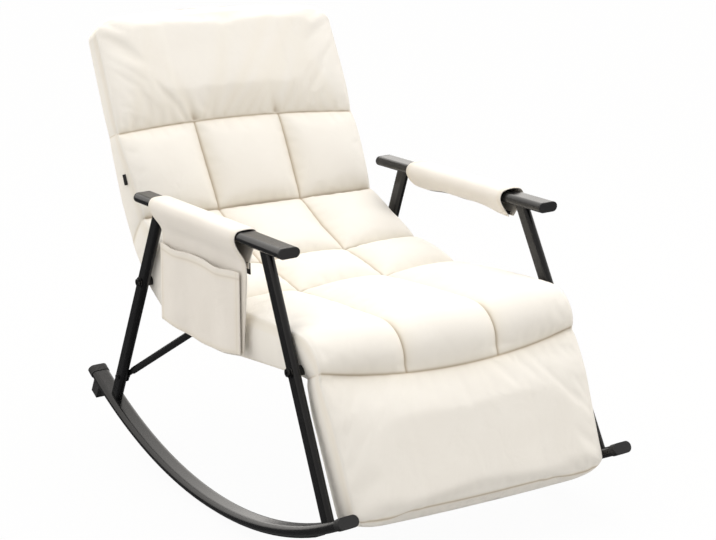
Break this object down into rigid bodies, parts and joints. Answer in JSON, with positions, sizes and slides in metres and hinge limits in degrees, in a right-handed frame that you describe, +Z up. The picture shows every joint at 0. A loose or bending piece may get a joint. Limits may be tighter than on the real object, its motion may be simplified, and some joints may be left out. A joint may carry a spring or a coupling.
{
  "type": "rocking lounge chair",
  "caption": "Rocking lounge chair with a black steel frame on curved runners, a quilted cream cushion, a reclining back, a lifting footrest and padded armrest covers, one with a pocket",
  "frame": {"origin": "on the floor, below the middle of the chair's length and width", "axes": "+X to the sitter's left, +Y to the back, +Z up; the chair faces -Y"},
  "size_m": [0.672, 1.0701, 0.8895],
  "materials": {
    "steel": "satin black",
    "zinc": "zinc plated",
    "rubber": "matte",
    "cream": "brushed woven, matte",
    "lining": "woven strap"
  },
  "bodies": {
    "base": {"right_runner": "steel", "left_runner": "steel", "right_floor_strip": "rubber", "left_floor_strip": "rubber", "right_front_cap": "rubber", "left_front_cap": "rubber", "right_rear_cap": "rubber", "left_rear_cap": "rubber", "right_stop_block": "rubber", "left_stop_block": "rubber", "right_front_leg": "steel", "left_front_leg": "steel", "right_rear_leg": "steel", "left_rear_leg": "steel", "right_armrest_tube": "steel", "left_armrest_tube": "steel", "armrest_end_caps": "rubber", "right_armrest_cover": "cream", "left_armrest_cover": "cream", "right_pocket_panel": "cream", "right_cover_fastener": "rubber", "left_cover_fastener": "rubber", "right_brace": "steel", "left_brace": "steel", "brace_bolts": "zinc", "right_seat_rail": "steel", "left_seat_rail": "steel", "seat_front_crossbar": "steel", "seat_middle_crossbar": "steel", "seat_rear_crossbar": "steel", "seat_webbing": "lining", "leg_spacers": "steel", "leg_bolts": "zinc", "leg_washers": "zinc", "leg_nuts": "zinc", "seat_cushion": "cream", "seat_under_cover": "cream", "right_back_hinge_bracket": "zinc", "left_back_hinge_bracket": "zinc", "right_footrest_hinge_bracket": "zinc", "left_footrest_hinge_bracket": "zinc", "bracket_rivets": "zinc", "hinge_pins": "zinc"},
    "backrest": {"right_back_hinge_arm": "zinc", "left_back_hinge_arm": "zinc", "back_hinge_pawls": "zinc", "back_frame": "steel", "back_crossbar": "steel", "back_webbing": "lining", "back_cushion": "cream", "back_rear_cover": "cream", "side_tag": "rubber"},
    "footrest": {"right_footrest_hinge_arm": "zinc", "left_footrest_hinge_arm": "zinc", "footrest_hinge_pawls": "zinc", "footrest_frame": "steel", "footrest_crossbar": "steel", "footrest_webbing": "lining", "footrest_cushion": "cream", "footrest_rear_cover": "cream"}
  },
  "joints": [
    {"name": "back_recline", "type": "hinge", "parent": "base", "child": "backrest", "pos_m": [0, 0.31524, 0.455], "axis": [-1, 0, 0], "range_deg": [0, 45]},
    {"name": "footrest_lift", "type": "hinge", "parent": "base", "child": "footrest", "pos_m": [0, -0.33154, 0.37], "axis": [-1, 0, 0], "range_deg": [0, 65]}
  ]
}
